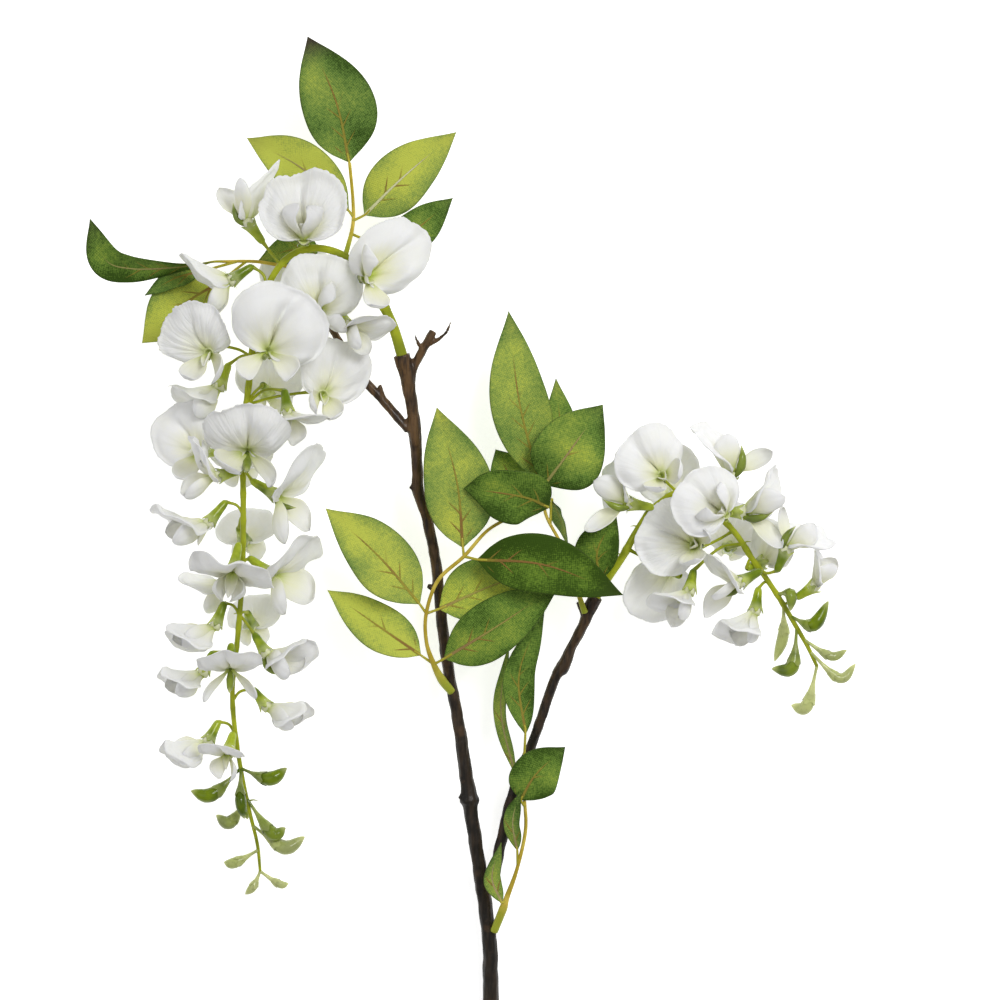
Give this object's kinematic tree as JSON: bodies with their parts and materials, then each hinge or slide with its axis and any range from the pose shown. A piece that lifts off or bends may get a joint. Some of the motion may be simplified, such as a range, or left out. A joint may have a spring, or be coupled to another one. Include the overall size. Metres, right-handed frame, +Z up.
{
  "type": "artificial wisteria spray",
  "caption": "Artificial white wisteria spray with a forked branch, hanging flower racemes, curled buds and pointed leaves, lying flat on a surface.",
  "frame": {"origin": "on the surface that the spray lies on, under the middle of its outline", "axes": "+Z up from the surface; the cut end of the branch points to -Y and the top leaf to +Y; the long raceme hangs on the -X side and the short raceme on the +X side"},
  "size_m": [0.3233, 0.4549, 0.0741],
  "materials": {
    "branch": "dark brown moulded bark with lighter ridges, slightly glossy",
    "green_stem": "bright green moulded plastic, glossy on the buds and calyxes",
    "petal": "white pressed fabric, cream to yellow-green at the throat, fine pleats",
    "leaf": "green printed and pressed fabric with a fine weave, yellow-green patches and ochre midribs"
  },
  "bodies": {
    "root": {"branch": "branch", "long_raceme_stem": "green_stem", "short_raceme_stem": "green_stem", "long_floret_a": "petal", "long_floret_b": "petal", "long_floret_c": "petal", "long_floret_d": "petal", "long_floret_e": "petal", "long_floret_f": "petal", "long_floret_g": "petal", "long_floret_h": "petal", "long_floret_i": "petal", "long_floret_j": "petal", "long_floret_k": "petal", "long_floret_l": "petal", "long_floret_m": "petal", "long_floret_n": "petal", "long_floret_o": "petal", "long_floret_p": "petal", "long_floret_q": "petal", "long_floret_r": "petal", "long_floret_s": "petal", "long_floret_t": "petal", "long_floret_u": "petal", "long_floret_v": "petal", "long_floret_w": "petal", "long_floret_x": "petal", "long_floret_y": "petal", "long_floret_z": "petal", "long_floret_back_1": "petal", "long_floret_back_2": "petal", "long_floret_back_3": "petal", "long_floret_back_4": "petal", "long_floret_back_5": "petal", "short_floret_a": "petal", "short_floret_b": "petal", "short_floret_c": "petal", "short_floret_d": "petal", "short_floret_e": "petal", "short_floret_f": "petal", "short_floret_g": "petal", "short_floret_h": "petal", "short_floret_i": "petal", "short_floret_j": "petal", "short_floret_k": "petal", "short_floret_l": "petal", "short_floret_m": "petal", "short_floret_back_1": "petal", "short_floret_back_2": "petal", "leaf_spray_top": "leaf", "leaf_spray_left": "leaf", "leaf_spray_middle": "leaf", "leaf_spray_right": "leaf", "leaf_spray_lower": "leaf"}
  },
  "joints": []
}
